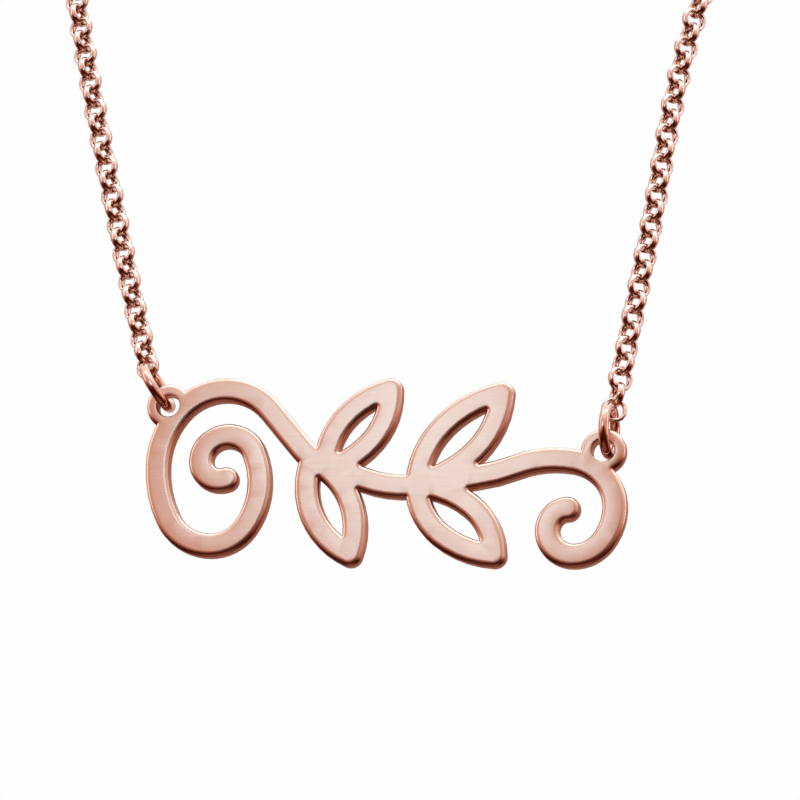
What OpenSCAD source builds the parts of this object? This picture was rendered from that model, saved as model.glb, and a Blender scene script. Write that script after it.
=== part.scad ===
// Nameplate necklace, as it lies round a neck, in millimetres.
// A flat cut-out plate hangs between two lengths of round-link chain. A jump ring joins each chain to an
// eyelet of the plate, and a plain clasp closes the loop behind the neck.
// Origin: the middle of the nape, at the clasp. +Z is up, the front of the plate looks along -Y, and +X is on
// the right of somebody who looks at the plate.

/* [Nameplate] */
// Length of the plate from end to end
plate_length = 38; // [30:0.5:50]
// Height of the plate
plate_height = 15; // [12:0.5:20]
// Thickness of the sheet
plate_thickness = 1.3; // [0.8:0.1:2]
// Width of every stroke of the cut-out pattern
stroke_width = 1.9; // [1.4:0.1:2.2]

/* [Eyelets] */
// Outer diameter of each eyelet of the plate
eyelet_outer = 3.5; // [3:0.1:4.5]
// Hole through each eyelet of the plate
eyelet_hole = 1.75; // [1.6:0.05:2.4]

/* [Jump rings] */
// Outer diameter of a jump ring
ring_outer = 4.5; // [4:0.1:6]
// Thickness of a jump ring's round wire
ring_wire = 0.8; // [0.6:0.05:1]

/* [Chain] */
// Outer width of the chain
chain_width = 2.1; // [1.6:0.1:2.6]
// Space between a chain's end and the ring that holds it
chain_gap = 0.15; // [0.1:0.05:0.5]

/* [Loop] */
// Half of the loop's width, at the sides of the neck
loop_half_width = 50; // [45:1:65]
// Distance from the nape forward to the plate
loop_depth = 106; // [95:1:130]
// Height of the nape above the middle of the plate
loop_drop = 108; // [95:1:150]

/* [Clasp] */
// Outer diameter of the clasp's ring
clasp_outer = 7; // [6:0.5:10]
// Thickness of the clasp's round wire
clasp_wire = 1.2; // [0.9:0.1:1.6]
// Outer diameter of the small eyelet on the side of the clasp
clasp_eye_outer = 3.4; // [3:0.1:4.5]
// Thickness of that eyelet's wire
clasp_eye_wire = 0.7; // [0.6:0.05:1]

/* [Hidden] */

// Facets of a full circle, degrees between two points of a stroke's arc, the smallest bend that is drawn as
// an arc, and how far two headings must part for the tangents to be of the common kind
round_steps = 64;
arc_step = 7.5;
least_bend = 0.5;
least_open = 0.0001;

// Colours: the brushed face of the plate, and the bright wire
satin_rose = [0.84, 0.62, 0.54];
bright_rose = [0.78, 0.50, 0.41];

// Places of the plate's middle and of the middle of its clasp
plate_middle = [0, -loop_depth, -loop_drop];
nape_middle = [0, 0, 0];

// Side of the necklace: left and right as seen from the front
LEFT = -1;
RIGHT = 1;

// The main stem of the plate, from the curl of the left scroll to the curl of the right scroll.
// Across is a share of the plate's length, up is a share of its height, both from the plate's middle.
// Heading is the way the stem runs there: 0 is to the right, 90 is up.
ACROSS = 0;
UP = 1;
HEADING = 2;
STEM = [
    // across,  up,    heading
    [-0.325, -0.040,  200],
    [-0.380,  0.060,   90],
    [-0.325,  0.190,    0],
    [-0.255, -0.080,  -90],
    [-0.350, -0.390,  180],
    [-0.470,  0.040,   90],
    [-0.335,  0.435,    0],
    [-0.175,  0.130,  -50],
    [-0.040, -0.040,  -20],
    [ 0.110, -0.060,   12],
    [ 0.270,  0.030,   22],
    [ 0.390,  0.060,  -10],
    [ 0.475, -0.190,  -90],
    [ 0.395, -0.435,  180],
    [ 0.340, -0.300,   90],
    [ 0.380, -0.190,    0]
];

// The open leaves: the places of the foot and of the tip, in the shares above, how far each side swings out
// from the straight line between them, and how far the whole leaf sways, both in degrees.
FOOT_ACROSS = 0;
FOOT_UP = 1;
TIP_ACROSS = 2;
TIP_UP = 3;
SWING = 4;
SWAY = 5;
LEAVES = [
    // foot across, foot up, tip across, tip up, swing, sway
    [-0.120,  0.010,  0.005,  0.435, 40,  2],
    [ 0.070, -0.060,  0.235,  0.415, 38,  2],
    [-0.150,  0.060, -0.060, -0.435, 42,  0],
    [ 0.070, -0.070,  0.235, -0.435, 42, -4]
];

// The two eyelets of the plate, in shares of its length and height, with the jump ring that hangs in each:
// where the ring's middle lies from the hole's middle, in shares of the ring's radius, how far the ring
// leans over, how far it turns about its own height, and how far round from its top to its back the chain
// hooks on.
EYE_ACROSS = 0;
EYE_UP = 1;
RING_ACROSS = 2;
RING_UP = 3;
RING_LEAN = 4;
RING_TURN = 5;
HOOK = 6;
EYE_LEFT = [-0.454, 0.347, -0.5, 0.71, -32, -5, 15];
EYE_RIGHT = [0.447, 0.113, 0.145, 0.755, 1, -4, 30];

// The way of one chain from its jump ring to the clasp, for the right side. Out is a share of the loop's half
// width, aside is how far both chains lie to the right there, in the same shares, back is a share of the
// loop's depth behind the plate, and rise is a share of its drop above the plate.
OUT = 0;
ASIDE = 1;
BACK = 2;
RISE = 3;
ROUTE = [
    // out,  aside, back,  rise
    [0.42, -0.033, 0.02, 0.18],
    [0.49, -0.059, 0.04, 0.34],
    [0.59, -0.060, 0.09, 0.52],
    [0.74, -0.050, 0.20, 0.72],
    [0.89, -0.030, 0.36, 0.87],
    [0.98, -0.010, 0.55, 0.955],
    [0.94,  0.000, 0.75, 0.99],
    [0.72,  0.000, 0.92, 1.00],
    [0.40,  0.000, 0.99, 1.00]
];

// Sides of the chain's tube, its sections between two points of the route, and how much further its end
// keeps from a jump ring, because the ring's wire rises beside it
tube_sides = 8;
tube_steps = 3;
hook_room = 0.2;

// Middle radius of a jump ring's wire
ring_mid = (ring_outer - ring_wire) / 2;

// The clasp's own eyelet sinks into the clasp's ring by half of its wire
clasp_eye_at = clasp_outer / 2 + clasp_eye_outer / 2 - clasp_eye_wire / 2;

// The end ring hangs in the clasp's ring, with the chain's gap between the two wires
end_ring_at = -clasp_outer / 2 + clasp_wire + chain_gap + ring_wire / 2 - ring_mid;

// Where each chain ends behind the neck
chain_end_left = end_ring_at - ring_outer / 2 - chain_gap;
chain_end_right = clasp_eye_at + clasp_eye_outer / 2 + chain_gap;

// Half of the stroke's width
half_stroke = stroke_width / 2;

// A knot of a stroke: its place and its heading
PLACE = 0;
WAY = 1;

// Flat arcs

// A direction in the plate's plane from its heading
function dir(a) = [cos(a), sin(a)];

// Size of the turn from direction a to direction b
function side_of(a, b) = a[0] * b[1] - a[1] * b[0];

// Length of the two equal tangents that join two directed points with a pair of arcs
function tangent_of(v, a, b) =
    let (both = v * (a + b), open = 2 * (1 - a * b))
    open < least_open ? (v * v) / (4 * (v * b)) : (sqrt(both * both + open * (v * v)) - both) / open;

// The point where that pair of arcs meets
function meet(p, a, q, b) =
    let (s = tangent_of(q - p, a, b))
    (p + s * a + q - s * b) / 2;

// Bend of the arc that leaves p along heading h and ends in q
function bend_of(p, h, q) = 2 * atan2(side_of(dir(h), q - p), dir(h) * (q - p));

// Places with headings along that arc, without its last one
function arc_stations(p, h, q) =
    let (
        bend = bend_of(p, h, q),
        n = max(1, ceil(abs(bend) / arc_step)),
        straight = abs(bend) < least_bend,
        r = straight ? 0 : norm(q - p) / (2 * sin(bend / 2)),
        middle = p + r * [-sin(h), cos(h)]
    )
    [for (k = [0 : n - 1])
        let (a = h + bend * k / n)
        [straight ? p + (q - p) * k / n : middle + r * [sin(a), -cos(a)], a]];

// Places with headings along a whole stroke through its knots, two arcs from each knot to the next
function stations(knots) = concat(
    [for (i = [0 : len(knots) - 2])
        let (
            p = knots[i][PLACE],
            h = knots[i][WAY],
            q = knots[i + 1][PLACE],
            m = meet(p, dir(h), q, dir(knots[i + 1][WAY]))
        )
        each concat(arc_stations(p, h, m), arc_stations(m, h + bend_of(p, h, m), q))],
    [knots[len(knots) - 1]]
);

// The left side of a stroke along its stations, or with side -1 the right side
function side_points(s, side) = [for (row = s) row[PLACE] + half_stroke * dir(row[WAY] + side * 90)];

// Points round an end at a place, between two headings and without them
function round_points(p, from, to) =
    let (n = ceil((to - from) / arc_step))
    [for (k = [1 : n - 1]) p + half_stroke * dir(from + (to - from) * k / n)];

function reversed(list) = [for (i = [len(list) - 1 : -1 : 0]) list[i]];

// Outline of a stroke with two round ends
function outline(knots) =
    let (s = stations(knots), first = s[0], last = s[len(s) - 1])
    concat(
        round_points(first[PLACE], first[WAY] + 90, first[WAY] + 270),
        side_points(s, -1),
        round_points(last[PLACE], last[WAY] - 90, last[WAY] + 90),
        reversed(side_points(s, 1))
    );

// A place on the plate from its shares
function place(across, up) = [across * plate_length, up * plate_height];

// The chain's way

function unit(v) = v / norm(v);

// A place on the route, on one side of the necklace
function route_at(side, row) = [
    (side * row[OUT] + row[ASIDE]) * loop_half_width,
    (row[BACK] - 1) * loop_depth,
    (row[RISE] - 1) * loop_drop
];

// A jump ring's middle, in the frame of the necklace
function ring_middle(eye) =
    let (p = place(eye[EYE_ACROSS], eye[EYE_UP]), r = ring_outer / 2)
    plate_middle + [p[0] + eye[RING_ACROSS] * r, 0, p[1] + eye[RING_UP] * r];

// Where a chain hooks on a jump ring: the middle of the ring's wire there
function hook_at(eye) =
    let (l = eye[RING_LEAN], t = eye[RING_TURN], h = eye[HOOK])
    ring_middle(eye) + ring_mid * (
        cos(h) * [sin(l), 0, cos(l)] + sin(h) * [-sin(t) * cos(l), cos(t), sin(t) * sin(l)]
    );

// Where a chain's tube starts, a little way from the hook towards the first point of its route
function chain_start(side, eye) =
    let (h = hook_at(eye), reach = ring_wire / 2 + chain_gap + hook_room)
    h + reach * unit(route_at(side, ROUTE[0]) - h);

// All the points of one chain's way
function way(side, eye, end_x) = concat(
    [chain_start(side, eye)],
    [for (row = ROUTE) route_at(side, row)],
    [nape_middle + [end_x, 0, 0]]
);

// Points before the first and after the last carry straight on
function point_at(w, i) =
    i < 0 ? 2 * w[0] - w[1] : i >= len(w) ? 2 * w[len(w) - 1] - w[len(w) - 2] : w[i];

// A smooth curve through four points, at share t of the way between the middle two
function curve_at(a, b, c, d, t) =
    b + t * (c - a) / 2 + t * t * (a - 2.5 * b + 2 * c - d / 2) + t * t * t * (1.5 * (b - c) + (d - a) / 2);

// The middles of all the tube's sections
function middles(w) = concat(
    [for (i = [0 : len(w) - 2]) for (k = [0 : tube_steps - 1])
        curve_at(point_at(w, i - 1), w[i], w[i + 1], point_at(w, i + 2), k / tube_steps)],
    [w[len(w) - 1]]
);

// Length of a line through points
function length_of(m, i = 0) = i + 1 >= len(m) ? 0 : norm(m[i + 1] - m[i]) + length_of(m, i + 1);

// Square to the slanting plane that the loop lies in
loop_square = [0, loop_drop, -loop_depth] / norm([0, loop_drop, loop_depth]);

// Corners of one section of the tube, in the plane square to the way
function section_at(m, i) =
    let (
        ahead = unit(m[min(i + 1, len(m) - 1)] - m[max(i - 1, 0)]),
        u = unit(cross(ahead, loop_square)),
        v = cross(u, ahead)
    )
    [for (k = [0 : tube_sides - 1])
        let (a = 360 * k / tube_sides)
        m[i] + chain_width / 2 * (cos(a) * u + sin(a) * v)];

// Shared shapes

// Round wire bent into a closed ring round Z
module wire_ring(outer, wire) {
    rotate_extrude($fn = round_steps)
        translate([(outer - wire) / 2, 0])
            circle(d = wire, $fn = round_steps / 2);
}

// The stem with its scrolls
module stem() {
    polygon(outline([for (row = STEM) [place(row[ACROSS], row[UP]), row[HEADING]]]));
}

// One open leaf: a stroke up each side, from the foot on the stem to the tip, round the open middle
module leaf(row) {
    foot = place(row[FOOT_ACROSS], row[FOOT_UP]);
    tip = place(row[TIP_ACROSS], row[TIP_UP]);
    line = atan2(tip[1] - foot[1], tip[0] - foot[0]) + row[SWAY];
    out = line + row[SWING];
    back = line - row[SWING];
    left = stations([[foot, out], [tip, back]]);
    right = stations([[foot, back], [tip, out]]);
    difference() {
        polygon(concat(
            side_points(right, -1),
            round_points(tip, out - 90, back + 90),
            reversed(side_points(left, 1))
        ));
        intersection() {
            polygon(concat(side_points(right, -1), reversed(side_points(left, -1))));
            polygon(concat(side_points(right, 1), reversed(side_points(left, 1))));
        }
    }
}

// A disc of a given diameter in the middle of an eyelet
module eyelet_disc(eye, d) {
    translate(place(eye[EYE_ACROSS], eye[EYE_UP]))
        circle(d = d, $fn = round_steps);
}

// Sub-parts

module nameplate() {
    color(satin_rose)
        translate(plate_middle)
            rotate([90, 0, 0])
                translate([0, 0, -plate_thickness / 2])
                    linear_extrude(plate_thickness)
                        difference() {
                            union() {
                                stem();
                                for (row = LEAVES)
                                    leaf(row);
                                eyelet_disc(EYE_LEFT, eyelet_outer);
                                eyelet_disc(EYE_RIGHT, eyelet_outer);
                            }
                            eyelet_disc(EYE_LEFT, eyelet_hole);
                            eyelet_disc(EYE_RIGHT, eyelet_hole);
                        }
}

// A jump ring that hangs in an eyelet of the plate
module jump_ring(eye) {
    color(bright_rose)
        translate(ring_middle(eye))
            rotate([0, eye[RING_LEAN], 0])
                rotate([0, 0, eye[RING_TURN]])
                    rotate([0, 90, 0])
                        wire_ring(ring_outer, ring_wire);
}

module jump_ring_left() {
    jump_ring(EYE_LEFT);
}

module jump_ring_right() {
    jump_ring(EYE_RIGHT);
}

// One half of the chain, as a tube of the links' outer width
module chain(side, eye, end_x) {
    m = middles(way(side, eye, end_x));
    n = len(m);
    s = tube_sides;
    points = [for (i = [0 : n - 1]) each section_at(m, i)];
    walls = [for (i = [0 : n - 2]) for (k = [0 : s - 1])
        [i * s + k, i * s + (k + 1) % s, (i + 1) * s + (k + 1) % s, (i + 1) * s + k]];
    start_cap = [for (k = [s - 1 : -1 : 0]) k];
    end_cap = [for (k = [0 : s - 1]) (n - 1) * s + k];
    color(bright_rose)
        polyhedron(points, concat([start_cap], walls, [end_cap]), convexity = 8);
}

module chain_left() {
    chain(LEFT, EYE_LEFT, chain_end_left);
}

module chain_right() {
    chain(RIGHT, EYE_RIGHT, chain_end_right);
}

// The clasp, a plain ring with a small eyelet for the right chain
module clasp() {
    color(bright_rose)
        translate(nape_middle)
            rotate([90, 0, 0])
                union() {
                    wire_ring(clasp_outer, clasp_wire);
                    translate([clasp_eye_at, 0, 0])
                        wire_ring(clasp_eye_outer, clasp_eye_wire);
                }
}

// The ring on the left chain's end, held in the clasp
module end_ring() {
    color(bright_rose)
        translate(nape_middle + [end_ring_at, 0, 0])
            wire_ring(ring_outer, ring_wire);
}

nameplate();
jump_ring_left();
jump_ring_right();
chain_left();
chain_right();
clasp();
end_ring();
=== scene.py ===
"""Looks of the nameplate necklace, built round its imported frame.

Every length is in metres, in the frame of the part: +Z is up, the plate looks along -Y, and the middle of
the nape is the origin.
"""

import math

import bmesh
import bpy
import numpy as np
from mathutils import Matrix, Vector
from mathutils.geometry import delaunay_2d_cdt


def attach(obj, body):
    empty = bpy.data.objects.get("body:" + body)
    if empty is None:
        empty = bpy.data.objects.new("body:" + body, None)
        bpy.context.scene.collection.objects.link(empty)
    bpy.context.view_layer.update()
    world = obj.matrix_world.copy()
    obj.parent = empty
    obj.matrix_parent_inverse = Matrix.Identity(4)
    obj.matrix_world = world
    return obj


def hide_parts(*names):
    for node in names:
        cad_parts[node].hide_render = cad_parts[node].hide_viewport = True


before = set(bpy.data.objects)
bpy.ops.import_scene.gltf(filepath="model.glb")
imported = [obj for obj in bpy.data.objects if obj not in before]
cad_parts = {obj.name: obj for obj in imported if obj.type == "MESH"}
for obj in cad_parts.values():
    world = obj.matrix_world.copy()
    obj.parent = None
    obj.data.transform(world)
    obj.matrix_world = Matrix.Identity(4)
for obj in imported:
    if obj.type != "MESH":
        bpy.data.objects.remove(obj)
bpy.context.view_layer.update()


# Sizes, in metres

MM = 0.001
ACROSS = Vector((1, 0, 0))
BACK = Vector((0, 1, 0))
UP = Vector((0, 0, 1))
SAME_PLACE = 0.5e-6  # corners of a mesh that lie closer together than this are one corner

# The plate
PLATE_MIDDLE = Vector((0.0, -106.0, -108.0)) * MM
PLATE_LENGTH = 38.0 * MM
PLATE_HEIGHT = 15.0 * MM
PLATE_THICKNESS = 1.3 * MM
EYELET_HOLE_RADIUS = 0.875 * MM

# How far the polishing has rounded the sheet's edges, across the face and down the wall
EDGE_ROUND = (0.45 * MM, 0.34 * MM)
HOLE_ROUND = (0.15 * MM, 0.15 * MM)  # at the drilled holes of the eyelets
DRILLED_WITHIN = 0.05 * MM  # an outline whose radius is this near to the holes' is a drilled hole
EDGE_STEPS = 6
SATIN_SLOPE = math.cos(math.radians(20.0))  # the brushing reaches over the edge to this slope
WALL_SLOPE = math.cos(math.radians(80.0))  # and the buffing to this one
FACE, EDGE, WALL = 0, 1, 2  # places of the plate's three finishes in its list of materials

# How the rounded edge is laid out
FRONT_SLOPE = math.cos(math.radians(45.0))  # a face of the solid that slopes more is its wall
TIP_BEND = math.radians(20.0)  # an outline that bends back more than this is the tip of a gap
FAN_STEP = math.radians(12.0)  # most that the fan of points round such a tip turns from one to the next
ROW_PLAY = 0.004 * MM  # a point of a row can lie this much nearer to the outline than the row does
LAYOUT_TOLERANCE = 0.00001 * MM  # points closer than this fall together

# An edge of a mesh that bends more than this is a corner, and shading breaks there
CORNER_BEND = math.radians(50.0)
CLASP_CORNER_BEND = math.radians(30.0)

# Round wire of the jump rings and the end ring: middle radius of a ring, and radius of its wire
RING_MID = 1.85 * MM
RING_WIRE = 0.4 * MM
RING_OUTER_RADIUS = RING_MID + RING_WIRE
RING_CUT = 0.05 * MM  # the saw cut where a ring closes
RING_CHAMFER = 0.15 * RING_WIRE  # how far the sawn ends are broken
RING_STEPS = 72
WIRE_STEPS = 16

# One link of the chain: a round ring of flattened wire
LINK_OUTER = 2.07 * MM
LINK_THICK = 0.36 * MM  # the wire from the hole outwards
LINK_WIDE = 0.68 * MM  # the wire along the link's own axis, before its six sides flatten it
LINK_HOLE_RADIUS = LINK_OUTER / 2 - LINK_THICK
LINK_SIDES = 14
LINK_WIRE_SIDES = 6
LINK_PITCH = 1.28 * MM  # two links that pull on each other lie this far apart
LINK_PLAY = math.radians(26.0)  # how far a link can slant on the ring's wire
EASED_LINKS = 3  # links over which the chain turns from the ring's wire to its own slant

# Loop of the chain: half width, depth from nape to plate, and drop from nape to plate
LOOP_HALF_WIDTH = 50.0 * MM
LOOP_DEPTH = 106.0 * MM
LOOP_DROP = 108.0 * MM
# Shares of those three, from the plate back to the nape, for the right side: out, aside, back, rise
ROUTE = (
    (0.42, -0.033, 0.02, 0.18),
    (0.49, -0.059, 0.04, 0.34),
    (0.59, -0.060, 0.09, 0.52),
    (0.74, -0.050, 0.20, 0.72),
    (0.89, -0.030, 0.36, 0.87),
    (0.98, -0.010, 0.55, 0.955),
    (0.94, 0.000, 0.75, 0.99),
    (0.72, 0.000, 0.92, 1.00),
    (0.40, 0.000, 0.99, 1.00),
)
ROUTE_STEPS = 24  # places on the curve from one point of the route to the next

# The plate's eyelets, and what hangs in each: the eyelet's place across and up in shares of the plate, the
# way from there to the jump ring's middle in shares of the ring's outer radius, and the ring's lean and
# turn. hook is how far round to its back the chain hooks on. facing is how far the chain's first, third,
# fifth link and so on face away from the front. side is the side of the loop. Angles are in degrees.
EYES = {
    "left": dict(across=-0.454, up=0.347, ring=(-0.5, 0.71), lean=-32.0, turn=-5.0, hook=15.0,
                 facing=-30.0, side=-1),
    "right": dict(across=0.447, up=0.113, ring=(0.145, 0.755), lean=1.0, turn=-4.0, hook=30.0,
                  facing=54.0, side=1),
}

# Where a ring's saw cut is, in degrees from its top towards its back
JUMP_RING_CUT_AT = 120.0
END_RING_CUT_AT = 30.0

# The fastening behind the neck
END_RING_AT = Vector((-3.6, 0.0, 0.0)) * MM
CLASP_EYE_AT = Vector((4.85, 0.0, 0.0)) * MM
CLASP_EYE_MID = 1.35 * MM
CLASP_EYE_WIRE = 0.35 * MM

# Middle and axis of the last link of each chain, which hangs in the end ring or in the clasp's eyelet
LAST_LINKS = {
    "left": (END_RING_AT - (RING_MID + LINK_HOLE_RADIUS - RING_WIRE) * ACROSS, BACK),
    "right": (CLASP_EYE_AT + (CLASP_EYE_MID + LINK_HOLE_RADIUS - CLASP_EYE_WIRE) * ACROSS, UP),
}

# Colours and materials


def linear(code):
    """Linear colour with alpha from an sRGB hex code such as "e2b8a8"."""
    out = []
    for k in (0, 2, 4):
        c = int(code[k : k + 2], 16) / 255.0
        out.append(c / 12.92 if c <= 0.04045 else ((c + 0.055) / 1.055) ** 2.4)
    return (*out, 1.0)


def add_node(tree, kind, settings=None, inputs=None, links=None):
    """A new node. settings are its own properties, inputs are values of its sockets, and links are the
    sockets that feed it, all by name or number."""
    node = tree.nodes.new(kind)
    for name, value in (settings or {}).items():
        setattr(node, name, value)
    for name, value in (inputs or {}).items():
        node.inputs[name].default_value = value
    for name, source in (links or {}).items():
        tree.links.new(source, node.inputs[name])
    return node


def set_stops(ramp, stops):
    """Gives a colour ramp its stops, each a place and an sRGB hex code."""
    elements = ramp.color_ramp.elements
    for element, (place, code) in zip(elements, (stops[0], stops[-1])):
        element.position, element.color = place, linear(code)
    for place, code in stops[1:-1]:
        elements.new(place).color = linear(code)


def start_material(name):
    """An empty node material, and its tree."""
    material = bpy.data.materials.new(name)
    material.use_nodes = True
    material.node_tree.nodes.clear()
    return material, material.node_tree


def satin_brushed_face():
    """Rose gold plate over silver, brushed along the plate with a fine abrasive wheel.

    To the eye: one broad, soft sheen with hardly visible level lines, and no mirror image."""
    material, tree = start_material("satin_brushed_rose_gold")
    place = add_node(tree, "ShaderNodeTexCoord").outputs["Object"]
    # Brush lines are about 0.03 mm apart. They are drawn 0.12 mm apart, or they would not show.
    along = add_node(tree, "ShaderNodeMapping", inputs={"Scale": (350.0, 1.0, 8300.0)},
                     links={"Vector": place})
    lines = add_node(tree, "ShaderNodeTexNoise", inputs={"Scale": 1.0, "Detail": 3.0, "Roughness": 0.6},
                     links={"Vector": along.outputs["Vector"]})
    # Slow unevenness of the hand polishing, about 6 mm across
    cloud = add_node(tree, "ShaderNodeTexNoise", inputs={"Scale": 170.0, "Detail": 2.0},
                     links={"Vector": place})
    tint = add_node(tree, "ShaderNodeValToRGB", links={"Fac": lines.outputs["Fac"]})
    set_stops(tint, ((0.25, "dba892"), (0.75, "e1b29e")))
    rough = add_node(tree, "ShaderNodeMapRange", inputs={"To Min": 0.27, "To Max": 0.35},
                     links={"Value": cloud.outputs["Fac"]})
    bump = add_node(tree, "ShaderNodeBump", inputs={"Strength": 0.06, "Distance": 0.02 * MM},
                    links={"Height": lines.outputs["Fac"]})
    metal = add_node(tree, "ShaderNodeBsdfPrincipled", inputs={"Metallic": 1.0},
                     links={"Base Color": tint.outputs["Color"], "Roughness": rough.outputs["Result"],
                            "Normal": bump.outputs["Normal"]})
    add_node(tree, "ShaderNodeOutputMaterial", links={"Surface": metal.outputs["BSDF"]})
    return material


def plated_metal(name, light, deep, rough_low, rough_high, spot):
    """Rose gold plate over silver, with a faint unevenness whose spots are that many metres across.

    In it the colour goes from light to deep, and the roughness from low to high."""
    material, tree = start_material(name)
    place = add_node(tree, "ShaderNodeTexCoord").outputs["Object"]
    cloud = add_node(tree, "ShaderNodeTexNoise",
                     inputs={"Scale": 1.0 / spot, "Detail": 3.0, "Roughness": 0.55},
                     links={"Vector": place})
    tint = add_node(tree, "ShaderNodeValToRGB", links={"Fac": cloud.outputs["Fac"]})
    set_stops(tint, ((0.3, deep), (0.7, light)))
    rough = add_node(tree, "ShaderNodeMapRange", inputs={"To Min": rough_low, "To Max": rough_high},
                     links={"Value": cloud.outputs["Fac"]})
    metal = add_node(tree, "ShaderNodeBsdfPrincipled", inputs={"Metallic": 1.0},
                     links={"Base Color": tint.outputs["Color"], "Roughness": rough.outputs["Result"]})
    add_node(tree, "ShaderNodeOutputMaterial", links={"Surface": metal.outputs["BSDF"]})
    return material


def polished_edge_painted_highlight():
    """The buffed edge of the sheet, polished, and in a lighter copy of the face's colour as painted
    highlight round the whole edge.

    To the eye: a thin bright line above and a deep red-brown one below."""
    # polished, with tints lighter than the face's as painted highlight
    return plated_metal("polished_edge_rose_gold_painted_highlight", "e8c4b5", "deae9b", 0.20, 0.26, 1.5 * MM)


def cut_wall_painted_shade():
    """Wall of the sheet as the fine saw left it, plated but not buffed, so matt, and in a darker copy of
    the rose gold as painted shade.

    To the eye: a matt red-brown line of painted shade that sets off the outline."""
    # matt, with tints darker than the face's as painted shade
    return plated_metal("cut_wall_rose_gold_painted_shade", "bd7c66", "ad6a54", 0.36, 0.46, 0.9 * MM)


def link_wire():
    """Drawn, tumbled and plated wire of the chain's links.

    To the eye: small hard highlights and dark bands."""
    return plated_metal("bright_rose_gold_wire", "ecccc0", "e4bbae", 0.08, 0.13, 0.7 * MM)


def ring_wire():
    """Thicker polished wire of the jump rings, the end ring and the clasp.

    To the eye: mirror-like, with long white and near-black bands."""
    return plated_metal("polished_rose_gold_ring", "e2b3a2", "d6a08d", 0.05, 0.09, 1.2 * MM)


def matt_board():
    """Matt studio board of a warm white, which the cool lights turn neutral.

    To the eye: an even pale ground."""
    material, tree = start_material("matt_white_board")
    place = add_node(tree, "ShaderNodeTexCoord").outputs["Object"]
    # Grain of the board, 2.5 mm across
    grain = add_node(tree, "ShaderNodeTexNoise", inputs={"Scale": 400.0, "Detail": 2.0},
                     links={"Vector": place})
    tint = add_node(tree, "ShaderNodeValToRGB", links={"Fac": grain.outputs["Fac"]})
    set_stops(tint, ((0.0, "f2ebe9"), (1.0, "f8f1ef")))
    board = add_node(tree, "ShaderNodeBsdfPrincipled", inputs={"Roughness": 0.9},
                     links={"Base Color": tint.outputs["Color"]})
    add_node(tree, "ShaderNodeOutputMaterial", links={"Surface": board.outputs["BSDF"]})
    return material


# Meshes and pieces


def new_object(name, data):
    """An object in the scene for a mesh, a lamp or a camera."""
    obj = bpy.data.objects.new(name, data)
    bpy.context.scene.collection.objects.link(obj)
    return obj


def mesh_object(name, points, faces, materials, smooth=True):
    """A new object from points and faces, smooth or flat."""
    mesh = bpy.data.meshes.new(name)
    mesh.from_pydata([tuple(p) for p in points], [], faces)
    mesh.validate()
    for material in materials:
        mesh.materials.append(material)
    if smooth:
        mesh.shade_smooth()
    return new_object(name, mesh)


def open_mesh(mesh):
    """A mesh opened for editing."""
    edit = bmesh.new()
    edit.from_mesh(mesh)
    return edit


def close_mesh(edit, mesh):
    """Writes what was edited to a mesh."""
    edit.to_mesh(mesh)
    edit.free()


def open_cad_copy(node):
    """A copy of a CAD node's mesh opened for editing, its loose triangles joined at their corners."""
    edit = open_mesh(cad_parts[node].data)
    bmesh.ops.remove_doubles(edit, verts=edit.verts, dist=SAME_PLACE)
    return edit


def mark_corners(edit, bend):
    """Breaks the smooth shading at each edge that bends more than that."""
    for edge in edit.edges:
        edge.smooth = not (len(edge.link_faces) == 2 and edge.calc_face_angle() > bend)


def apply_modifiers(obj):
    """Makes the object's mesh what its modifiers show, and takes them off."""
    graph = bpy.context.evaluated_depsgraph_get()
    graph.update()
    mesh = bpy.data.meshes.new_from_object(obj.evaluated_get(graph), depsgraph=graph)
    mesh.name = obj.name
    obj.modifiers.clear()
    obj.data = mesh


def stand_for(obj, node):
    """The piece stands for one CAD node, whose own mesh it hides, and rides on the only body."""
    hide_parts(node)
    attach(obj, "root")


# Plate, laid out flat in mm


def front_outlines():
    """The closed outlines of the sheet's front face, as arrays of (x, z) with the metal on the left."""
    edit = open_cad_copy("nameplate")
    edit.normal_update()
    after = {}
    for face in edit.faces:
        if face.normal.y < -FRONT_SLOPE:
            for loop in face.loops:
                if abs(loop.link_loop_radial_next.face.normal.y) < FRONT_SLOPE:
                    a, b = loop.vert, loop.link_loop_next.vert
                    after[(a.co.x, a.co.z)] = (b.co.x, b.co.z)
    edit.free()
    outlines = []
    while after:
        start = next(iter(after))
        outline, at = [start], after.pop(start)
        while at != start:
            outline.append(at)
            at = after.pop(at)
        outlines.append(np.array(outline) / MM)
    return outlines


def left_of(v):
    """Vectors turned a quarter to the left."""
    return np.stack([-v[..., 1], v[..., 0]], -1)


def unit_rows(v):
    """Vectors of length 1 with the same directions."""
    return v / np.linalg.norm(v, axis=-1, keepdims=True)


def distances(points, starts, ends):
    """Distance from each point to the nearest of the segments."""
    along = ends - starts
    rel = points[:, None, :] - starts[None, :, :]
    t = np.clip((rel * along).sum(-1) / (along * along).sum(-1), 0.0, 1.0)
    return np.linalg.norm(rel - t[..., None] * along, axis=-1).min(1)


def in_metal(points, starts, ends):
    """Whether each point is in the metal, by counting the outlines' crossings to its right."""
    x, y = points[:, None, 0], points[:, None, 1]
    crosses = (starts[None, :, 1] > y) != (ends[None, :, 1] > y)
    height = np.where(ends[:, 1] == starts[:, 1], 1.0, ends[:, 1] - starts[:, 1])
    at = starts[None, :, 0] + (y - starts[None, :, 1]) * (ends[:, 0] - starts[:, 0])[None] / height[None]
    return (crosses & (at > x)).sum(1) % 2 == 1


def fan_between(first, last):
    """Directions from one to another, the short way round."""
    start, end = math.atan2(first[1], first[0]), math.atan2(last[1], last[0])
    bend = (end - start + math.pi) % (2 * math.pi) - math.pi
    count = max(2, math.ceil(abs(bend) / FAN_STEP))
    angles = [start + bend * k / count for k in range(count + 1)]
    return [np.array([math.cos(a), math.sin(a)]) for a in angles]


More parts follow.
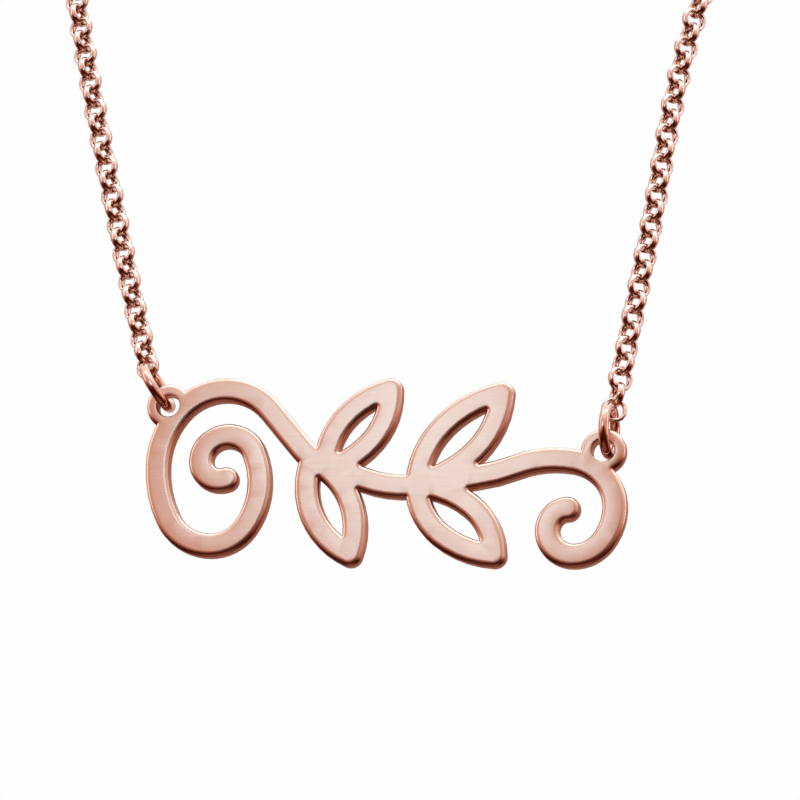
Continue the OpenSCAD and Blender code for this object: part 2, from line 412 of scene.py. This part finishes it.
def row_inside(outline, reach):
    """The outline moved into the metal by reach, with a fan of points round the tip of a gap."""
    # Which way the metal lies from the edge that leaves each corner, and from the edge that comes to it
    leaving = left_of(unit_rows(np.roll(outline, -1, 0) - outline))
    coming = np.roll(leaving, 1, 0)
    row = []
    for corner, a, b in zip(outline, coming, leaving):
        if a[0] * b[1] - a[1] * b[0] < -math.sin(TIP_BEND):
            row += [corner + reach * way for way in fan_between(a, b)]
        else:
            row.append(corner + reach * ((a + b) / (1 + a @ b)))
    return np.array(row)


def rounding(outline):
    """How far the polishing has rounded an outline's edge, in mm."""
    radius = np.ptp(outline[:, 0]) / 2
    drilled = abs(radius - EYELET_HOLE_RADIUS / MM) < DRILLED_WITHIN / MM
    across, down = HOLE_ROUND if drilled else EDGE_ROUND
    return across / MM, down / MM


def edge_layout(outlines, starts, ends):
    """Points of the outlines, and of rows that follow each one inwards over its rounded edge.

    Gives the points, how deep each lies below the face, the lines that join them along outlines and rows,
    and the lines along the outlines alone. A point nearer to another stretch of outline is left out."""
    places, depths, lines, rims = [], [], [], []
    for outline in outlines:
        across, down = rounding(outline)
        first, count = len(places), len(outline)
        places += [tuple(p) for p in outline]
        depths += [down] * count
        rim = [(first + k, first + (k + 1) % count) for k in range(count)]
        lines += rim
        rims += rim
        for step in range(1, EDGE_STEPS + 1):
            angle = math.pi / 2 * step / EDGE_STEPS
            reach, depth = across * (1 - math.cos(angle)), down * (1 - math.sin(angle))
            row = row_inside(outline, reach)
            ids = []
            for place, kept in zip(row, distances(row, starts, ends) > reach - ROW_PLAY / MM):
                ids.append(len(places) if kept else None)
                if kept:
                    places.append(tuple(place))
                    depths.append(depth)
            lines += [(a, b) for a, b in zip(ids, ids[1:] + ids[:1]) if a is not None and b is not None]
    return places, depths, lines, rims


def rounded_face():
    """The front face of the sheet: flat points, their depths, the triangles between them, and its rim."""
    outlines = front_outlines()
    starts = np.concatenate(outlines)
    ends = np.concatenate([np.roll(outline, -1, 0) for outline in outlines])
    places, depths, lines, rims = edge_layout(outlines, starts, ends)
    flat, _, triangles, origins, _, _ = delaunay_2d_cdt(
        [Vector(p) for p in places], lines, [], 0, LAYOUT_TOLERANCE / MM, True)
    new_of = {old: new for new, olds in enumerate(origins) for old in olds}
    depth_of = [max((depths[old] for old in olds), default=0.0) for olds in origins]
    flat = np.array([tuple(p) for p in flat])
    middles = np.array([flat[list(t)].mean(0) for t in triangles])
    triangles = [t for t, kept in zip(triangles, in_metal(middles, starts, ends)) if kept]
    return flat, depth_of, triangles, [(new_of[a], new_of[b]) for a, b in rims]


# Plate in space


def nameplate(materials):
    """The cut-out sheet: the rounded face in front and again behind, and the wall between them."""
    flat, depth_of, triangles, rim = rounded_face()
    half = PLATE_THICKNESS / 2 / MM
    front = [(x, -half + depth, z) for (x, z), depth in zip(flat, depth_of)]
    back = [(x, half - depth, z) for (x, z), depth in zip(flat, depth_of)]
    points = np.array(front + back) * MM + np.array([0.0, PLATE_MIDDLE.y, 0.0])
    count = len(flat)
    faces = [tuple(t) for t in triangles]
    faces += [tuple(count + corner for corner in reversed(t)) for t in triangles]
    faces += [(b, a, count + a, count + b) for a, b in rim]
    plate = mesh_object("plate", points, faces, materials)
    edit = open_mesh(plate.data)
    loose = [corner for corner in edit.verts if not corner.link_faces]
    bmesh.ops.delete(edit, geom=loose, context="VERTS")
    bmesh.ops.recalc_face_normals(edit, faces=edit.faces)
    # By slope: the face keeps its own colour, the edge gets the lighter painted-highlight tint and the wall
    # the darker painted-shade tint; their roughness is their own.
    for face in edit.faces:
        slope = abs(face.normal.y)
        face.material_index = FACE if slope > SATIN_SLOPE else EDGE if slope > WALL_SLOPE else WALL
    mark_corners(edit, CORNER_BEND)
    close_mesh(edit, plate.data)
    weighted = plate.modifiers.new("even faces", "WEIGHTED_NORMAL")
    weighted.mode = "FACE_AREA"
    weighted.weight = 100  # the large faces win, so that they shade flat
    weighted.keep_sharp = True
    apply_modifiers(plate)
    return plate


# Rings


def ring_frame(eye):
    """Middle of a jump ring, and its directions: up and back in its plane."""
    middle = PLATE_MIDDLE + Vector((
        eye["across"] * PLATE_LENGTH + eye["ring"][0] * RING_OUTER_RADIUS,
        0.0,
        eye["up"] * PLATE_HEIGHT + eye["ring"][1] * RING_OUTER_RADIUS,
    ))
    lean, turn = math.radians(eye["lean"]), math.radians(eye["turn"])
    up = Vector((math.sin(lean), 0.0, math.cos(lean)))
    back = Vector((-math.sin(turn) * math.cos(lean), math.cos(turn), math.sin(turn) * math.sin(lean)))
    return middle, up, back


def wire_ring(name, middle, up, back, cut_at, material):
    """An open ring of round wire. Its two sawn ends meet cut_at degrees from its top towards its back."""
    axis = up.cross(back).normalized()
    half_cut = RING_CUT / 2 / RING_MID
    start = math.radians(cut_at) + half_cut
    sweep = 2 * math.pi - 2 * half_cut
    broken = RING_CHAMFER / RING_MID
    # Angle along the ring and radius of each section: the ends are flat, with a chamfer
    sections = [(0.0, 0.0), (0.0, RING_WIRE - RING_CHAMFER), (broken, RING_WIRE)]
    sections += [(sweep * k / RING_STEPS, RING_WIRE) for k in range(1, RING_STEPS)]
    sections += [(sweep - broken, RING_WIRE), (sweep, RING_WIRE - RING_CHAMFER), (sweep, 0.0)]
    points = []
    for angle, radius in sections:
        out = math.cos(start + angle) * up + math.sin(start + angle) * back
        for k in range(WIRE_STEPS):
            b = 2 * math.pi * k / WIRE_STEPS
            points.append(middle + (RING_MID + radius * math.cos(b)) * out + radius * math.sin(b) * axis)
    faces = []
    for low in range(0, (len(sections) - 1) * WIRE_STEPS, WIRE_STEPS):
        high = low + WIRE_STEPS
        for k in range(WIRE_STEPS):
            j = (k + 1) % WIRE_STEPS
            faces.append((low + k, low + j, high + j, high + k))
    ring = mesh_object(name, points, faces, [material])
    edit = open_mesh(ring.data)
    bmesh.ops.remove_doubles(edit, verts=edit.verts, dist=SAME_PLACE)
    bmesh.ops.recalc_face_normals(edit, faces=edit.faces)
    mark_corners(edit, CORNER_BEND)
    close_mesh(edit, ring.data)
    return ring


def clasp_ring(material):
    """The clasp's own solid, smooth apart from its corners."""
    edit = open_cad_copy("clasp")
    for face in edit.faces:
        face.smooth = True
    mark_corners(edit, CLASP_CORNER_BEND)
    mesh = bpy.data.meshes.new("clasp_ring")
    close_mesh(edit, mesh)
    mesh.materials.append(material)
    return new_object("clasp_ring", mesh)


# Chain


def route_point(side, row):
    """A place on the chain's way from its shares."""
    out, aside, back, rise = row
    return Vector((
        (side * out + aside) * LOOP_HALF_WIDTH,
        (back - 1) * LOOP_DEPTH,
        (rise - 1) * LOOP_DROP,
    ))


def curve_through(points, steps):
    """A smooth curve through points, with that many places from each to the next."""
    ends = [2 * points[0] - points[1], *points, 2 * points[-1] - points[-2]]
    curve = []
    for a, b, c, d in zip(ends, ends[1:], ends[2:], ends[3:]):
        for k in range(steps):
            t = k / steps
            slope = t * (c - a) / 2
            bow = t * t * (a - 2.5 * b + 2 * c - d / 2)
            twist = t**3 * (1.5 * (b - c) + (d - a) / 2)
            curve.append(b + slope + bow + twist)
    return curve + [points[-1]]


def spread_evenly(line, spacing):
    """Places along a line, the same distance apart and just under spacing."""
    line = np.array([tuple(p) for p in line])
    run = np.concatenate([[0.0], np.cumsum(np.linalg.norm(np.diff(line, axis=0), axis=1))])
    count = math.ceil(run[-1] / spacing) + 1
    at = np.linspace(0.0, run[-1], count)
    return [Vector([np.interp(s, run, line[:, k]) for k in range(3)]) for s in at]


def chain_middles(eye, last):
    """Middles of all the links from a jump ring to the fastening, and the axis of the first one."""
    middle, up, back = ring_frame(eye)
    angle = math.radians(eye["hook"])
    hook = middle + RING_MID * (math.cos(angle) * up + math.sin(angle) * back)
    wire_way = -math.sin(angle) * up + math.cos(angle) * back
    points = [route_point(eye["side"], row) for row in ROUTE]
    first = hook + (LINK_HOLE_RADIUS - RING_WIRE) * (points[0] - hook).normalized()
    return spread_evenly(curve_through([first, *points, last], ROUTE_STEPS), LINK_PITCH), wire_way


def square_to(v, along):
    """The part of v that is square to a direction, with length 1."""
    return (v - v.dot(along) * along).normalized()


def within_quarter(angle):
    """The angle, turned by half turns until it is within a quarter turn either way."""
    return (angle + math.pi / 2) % math.pi - math.pi / 2


def link_turns(middles, first_axis, last_axis, facing):
    """A rotation for each link, as a quaternion: x runs along the chain and z is the link's own axis.

    Each link is turned a quarter from the one before. The first hangs on the ring's wire and leans as far
    as its play allows towards the way the chain wants to face. A few links bring the rest of that, and all
    the others share what is left to reach the last ring."""
    count = len(middles)
    ways = []
    for i in range(count):
        ways.append((middles[min(i + 1, count - 1)] - middles[max(i - 1, 0)]).normalized())
    front = square_to(Vector((math.sin(facing), -math.cos(facing), 0.0)), ways[0])
    sides = [front]
    for a, b in zip(ways, ways[1:]):
        sides.append(square_to(a.rotation_difference(b) @ sides[-1], b))

    def angle_to(axis, i):
        """Angle at link i from its side to an axis, either way along the axis."""
        end = square_to(axis, ways[i])
        return within_quarter(math.atan2(ways[i].dot(sides[i].cross(end)), sides[i].dot(end)))

    wire = angle_to(first_axis, 0)
    start = wire - max(-LINK_PLAY, min(LINK_PLAY, wire))
    missing = within_quarter(angle_to(last_axis, -1) - (count - 1) * math.pi / 2)
    turns = []
    for i, (way, side) in enumerate(zip(ways, sides)):
        share = max(0.0, (i - EASED_LINKS) / (count - 1 - EASED_LINKS))
        angle = i * math.pi / 2 + start * max(0.0, 1 - i / EASED_LINKS) + missing * share
        axis = Matrix.Rotation(angle, 3, way) @ side
        turns.append(Matrix((way, axis.cross(way), axis)).transposed().to_quaternion())
    return turns


LINK_TREE_INPUTS = {
    "Places": "NodeSocketGeometry",
    "Middle radius": "NodeSocketFloat",
    "Wire thickness": "NodeSocketFloat",
    "Wire width": "NodeSocketFloat",
    "Link sides": "NodeSocketInt",
    "Wire sides": "NodeSocketInt",
    "Finish": "NodeSocketMaterial",
}


def link_tree():
    """Geometry nodes that put one round link on every point, turned by the point's own rotation."""
    tree = bpy.data.node_groups.new("round links", "GeometryNodeTree")
    for name, kind in LINK_TREE_INPUTS.items():
        tree.interface.new_socket(name, in_out="INPUT", socket_type=kind)
    tree.interface.new_socket("Chain", in_out="OUTPUT", socket_type="NodeSocketGeometry")
    given = add_node(tree, "NodeGroupInput").outputs
    ring = add_node(tree, "GeometryNodeCurvePrimitiveCircle", {"mode": "RADIUS"},
                    links={"Resolution": given["Link sides"], "Radius": given["Middle radius"]})
    # The wire's section is 1 across, and is then scaled to the wire's thickness and width
    wire = add_node(tree, "GeometryNodeCurvePrimitiveCircle", {"mode": "RADIUS"}, inputs={"Radius": 0.5},
                    links={"Resolution": given["Wire sides"]})
    shape = add_node(tree, "ShaderNodeCombineXYZ", inputs={"Z": 1.0},
                     links={"X": given["Wire thickness"], "Y": given["Wire width"]})
    oval = add_node(tree, "GeometryNodeTransform",
                    links={"Geometry": wire.outputs["Curve"], "Scale": shape.outputs["Vector"]})
    link = add_node(tree, "GeometryNodeCurveToMesh",
                    links={"Curve": ring.outputs["Curve"], "Profile Curve": oval.outputs["Geometry"]})
    soft = add_node(tree, "GeometryNodeSetShadeSmooth", links={"Geometry": link.outputs["Mesh"]})
    turn = add_node(tree, "GeometryNodeInputNamedAttribute", {"data_type": "QUATERNION"},
                    inputs={"Name": "turn"})
    chain = add_node(tree, "GeometryNodeInstanceOnPoints",
                     links={"Points": given["Places"], "Instance": soft.outputs["Geometry"],
                            "Rotation": turn.outputs["Attribute"]})
    real = add_node(tree, "GeometryNodeRealizeInstances", links={"Geometry": chain.outputs["Instances"]})
    done = add_node(tree, "GeometryNodeSetMaterial",
                    links={"Geometry": real.outputs["Geometry"], "Material": given["Finish"]})
    add_node(tree, "NodeGroupOutput", links={"Chain": done.outputs["Geometry"]})
    return tree


def round_link_chain(name, tree, middles, turns, material):
    """One piece with a link at each middle."""
    mesh = bpy.data.meshes.new(name + "_places")
    mesh.from_pydata([tuple(p) for p in middles], [], [])
    turn = mesh.attributes.new("turn", "QUATERNION", "POINT")
    turn.data.foreach_set("value", np.array([tuple(q) for q in turns], np.float32).ravel())
    chain = new_object(name, mesh)
    links = chain.modifiers.new("links", "NODES")
    links.node_group = tree
    values = {
        "Middle radius": (LINK_OUTER - LINK_THICK) / 2,
        "Wire thickness": LINK_THICK,
        "Wire width": LINK_WIDE,
        "Link sides": LINK_SIDES,
        "Wire sides": LINK_WIRE_SIDES,
        "Finish": material,
    }
    for item in tree.interface.items_tree:
        if item.in_out == "INPUT" and item.name in values:
            links[item.identifier] = values[item.name]
    apply_modifiers(chain)
    if chain.data.attributes.get("turn"):
        chain.data.attributes.remove(chain.data.attributes["turn"])
    return chain


# Floor, lights and room

FLOOR_Z = -0.30
FLOOR_HALF = 3.0  # half of the floor's width and length

# The soft boxes, which all face the plate: place from its middle, width and height, how bright each looks
# with the white of the paper as 1, and colour
COOL_WHITE = "dff2ff"
KEY_DISTANCE = 0.085
KEY_WAY = Vector((-0.16, -0.945, 0.27)).normalized()  # about what the plate's face mirrors to the camera
SOFT_BOXES = {
    "key": (KEY_DISTANCE * KEY_WAY, (0.032, 0.026), 2.7, "8cdcff"),
    "top": (Vector((0.05, -0.15, 0.40)), (0.60, 0.06), 3.0, COOL_WHITE),
    "left": (Vector((-0.46, -0.15, 0.13)), (0.09, 0.36), 2.2, COOL_WHITE),
    "right": (Vector((0.48, 0.05, 0.13)), (0.09, 0.36), 2.2, COOL_WHITE),
}

# The studio round the necklace, which the camera itself doesn't see. It is a ramp of light from straight
# below at 0 to straight above at 1, and on it lie round patches: middle, inner and outer edge as cosines of
# the angle from it, and colour.
ROOM_STRENGTH = 2.0
ROOM_RAMP = (
    (0.00, "6c483a"),
    (0.05, "593528"),
    (0.12, "2c0d05"),
    (0.26, "300e07"),
    (0.35, "612e1f"),
    (0.42, "815242"),
    (0.50, "a88474"),
    (0.56, "b19b90"),
    (0.64, "a89389"),
    (0.72, "b6aea9"),
    (0.80, "c2c5c4"),
    (0.85, "cadadd"),
    (0.90, "d3edf6"),
)
ROOM_PATCHES = (
    # The pale wall behind, which lights the plate's back
    (Vector((0.0, 0.955, -0.30)), 0.93, 0.80, "a28e84"),
    # A dark cloth behind, which draws the outlines
    (Vector((-0.2, 0.945, 0.26)), 0.99, 0.95, "502719"),
    # The dark room behind the camera
    (Vector((0.2, -0.945, -0.26)), 0.97, 0.89, "30160e"),
)
PAPER = "fefefe"  # what the camera sees behind everything
MIX_SHARE, MIX_BELOW, MIX_ABOVE, MIX_RESULT = 0, 6, 7, 2  # sockets of a node that mixes colours


def studio_floor():
    """The floor, which the metal doesn't mirror."""
    signs = ((-1, -1), (1, -1), (1, 1), (-1, 1))
    corners = [(x * FLOOR_HALF, y * FLOOR_HALF, FLOOR_Z) for x, y in signs]
    floor = mesh_object("floor", corners, [(0, 1, 2, 3)], [matt_board()], smooth=False)
    floor.visible_glossy = False


def soft_box(name, way, size, brightness, colour):
    """A flat soft box that lies that way from the plate and faces it. It isn't seen in the picture."""
    lamp = bpy.data.lights.new(name, "AREA")
    lamp.shape = "RECTANGLE"
    lamp.size, lamp.size_y = size
    lamp.energy = brightness * math.pi * size[0] * size[1]  # watts that make its face look that bright
    lamp.color = linear(colour)[:3]
    box = new_object(name, lamp)
    box.location = PLATE_MIDDLE + way
    box.rotation_euler = (PLATE_MIDDLE - box.location).to_track_quat("-Z", "Y").to_euler()
    box.visible_camera = False


def studio_room():
    """The world: the room's light for the metal, and white paper for the camera."""
    world = bpy.data.worlds.new("studio")
    bpy.context.scene.world = world
    world.use_nodes = True
    tree = world.node_tree
    tree.nodes.clear()
    way = add_node(tree, "ShaderNodeTexCoord").outputs["Generated"]
    height = add_node(tree, "ShaderNodeSeparateXYZ", links={"Vector": way})
    lift = add_node(tree, "ShaderNodeMapRange", inputs={"From Min": -1.0, "From Max": 1.0},
                    links={"Value": height.outputs["Z"]})
    ramp = add_node(tree, "ShaderNodeValToRGB", links={"Fac": lift.outputs["Result"]})
    set_stops(ramp, ROOM_RAMP)
    colour = ramp.outputs["Color"]
    for middle, inner, outer, code in ROOM_PATCHES:
        near = add_node(tree, "ShaderNodeVectorMath", {"operation": "DOT_PRODUCT"},
                        inputs={1: middle.normalized()}, links={0: way})
        share = add_node(tree, "ShaderNodeMapRange", {"interpolation_type": "SMOOTHSTEP"},
                         inputs={"From Min": outer, "From Max": inner},
                         links={"Value": near.outputs["Value"]})
        mix = add_node(tree, "ShaderNodeMix", {"data_type": "RGBA"}, inputs={MIX_ABOVE: linear(code)},
                       links={MIX_SHARE: share.outputs["Result"], MIX_BELOW: colour})
        colour = mix.outputs[MIX_RESULT]
    room = add_node(tree, "ShaderNodeBackground", inputs={"Strength": ROOM_STRENGTH},
                    links={"Color": colour})
    paper = add_node(tree, "ShaderNodeBackground", inputs={"Color": linear(PAPER), "Strength": 1.0})
    seen = add_node(tree, "ShaderNodeLightPath").outputs["Is Camera Ray"]
    both = add_node(tree, "ShaderNodeMixShader",
                    links={0: seen, 1: room.outputs["Background"], 2: paper.outputs["Background"]})
    add_node(tree, "ShaderNodeOutputWorld", links={"Surface": both.outputs["Shader"]})


# Camera

CAMERA_AZIMUTH = math.radians(12.0)
CAMERA_HEIGHT = math.radians(-15.0)
CAMERA_ROLL = math.radians(3.15)
CAMERA_DISTANCE = 0.45
CAMERA_TARGET = PLATE_MIDDLE + Vector((0.9, 0.0, 5.8)) * MM
FRAME_WIDTH = 0.0615  # width of what the picture shows at the plate
SENSOR_WIDTH = 36.0  # in mm, as Blender has it
NEAREST_SEEN = 0.01
FARTHEST_SEEN = 20.0


def photo_camera():
    """The camera at the photograph's angle, turned a little as the photograph is."""
    data = bpy.data.cameras.new("camera")
    data.sensor_width = SENSOR_WIDTH
    data.lens = SENSOR_WIDTH * CAMERA_DISTANCE / FRAME_WIDTH
    data.clip_start = NEAREST_SEEN
    data.clip_end = FARTHEST_SEEN
    camera = new_object("camera", data)
    towards = Vector((
        math.sin(CAMERA_AZIMUTH) * math.cos(CAMERA_HEIGHT),
        -math.cos(CAMERA_AZIMUTH) * math.cos(CAMERA_HEIGHT),
        math.sin(CAMERA_HEIGHT),
    ))
    camera.location = CAMERA_TARGET + towards * CAMERA_DISTANCE
    turned = (-towards).to_track_quat("-Z", "Y").to_matrix() @ Matrix.Rotation(CAMERA_ROLL, 3, "Z")
    camera.rotation_euler = turned.to_euler()
    bpy.context.scene.camera = camera


# The necklace

plate = nameplate([satin_brushed_face(), polished_edge_painted_highlight(), cut_wall_painted_shade()])
stand_for(plate, "nameplate")

ring_metal = ring_wire()
for which, eye in EYES.items():
    ring = wire_ring("jump_ring_" + which + "_wire", *ring_frame(eye), JUMP_RING_CUT_AT, ring_metal)
    stand_for(ring, "jump_ring_" + which)
ring = wire_ring("end_ring_wire", END_RING_AT, BACK, ACROSS, END_RING_CUT_AT, ring_metal)
stand_for(ring, "end_ring")

tree = link_tree()
link_metal = link_wire()
for which, eye in EYES.items():
    last, last_axis = LAST_LINKS[which]
    middles, first_axis = chain_middles(eye, last)
    turns = link_turns(middles, first_axis, last_axis, math.radians(eye["facing"]))
    links = round_link_chain("chain_" + which + "_links", tree, middles, turns, link_metal)
    stand_for(links, "chain_" + which)

stand_for(clasp_ring(ring_metal), "clasp")

# The studio

studio_floor()
for name, settings in SOFT_BOXES.items():
    soft_box(name, *settings)
studio_room()
photo_camera()
bpy.context.scene.view_settings.view_transform = "Standard"
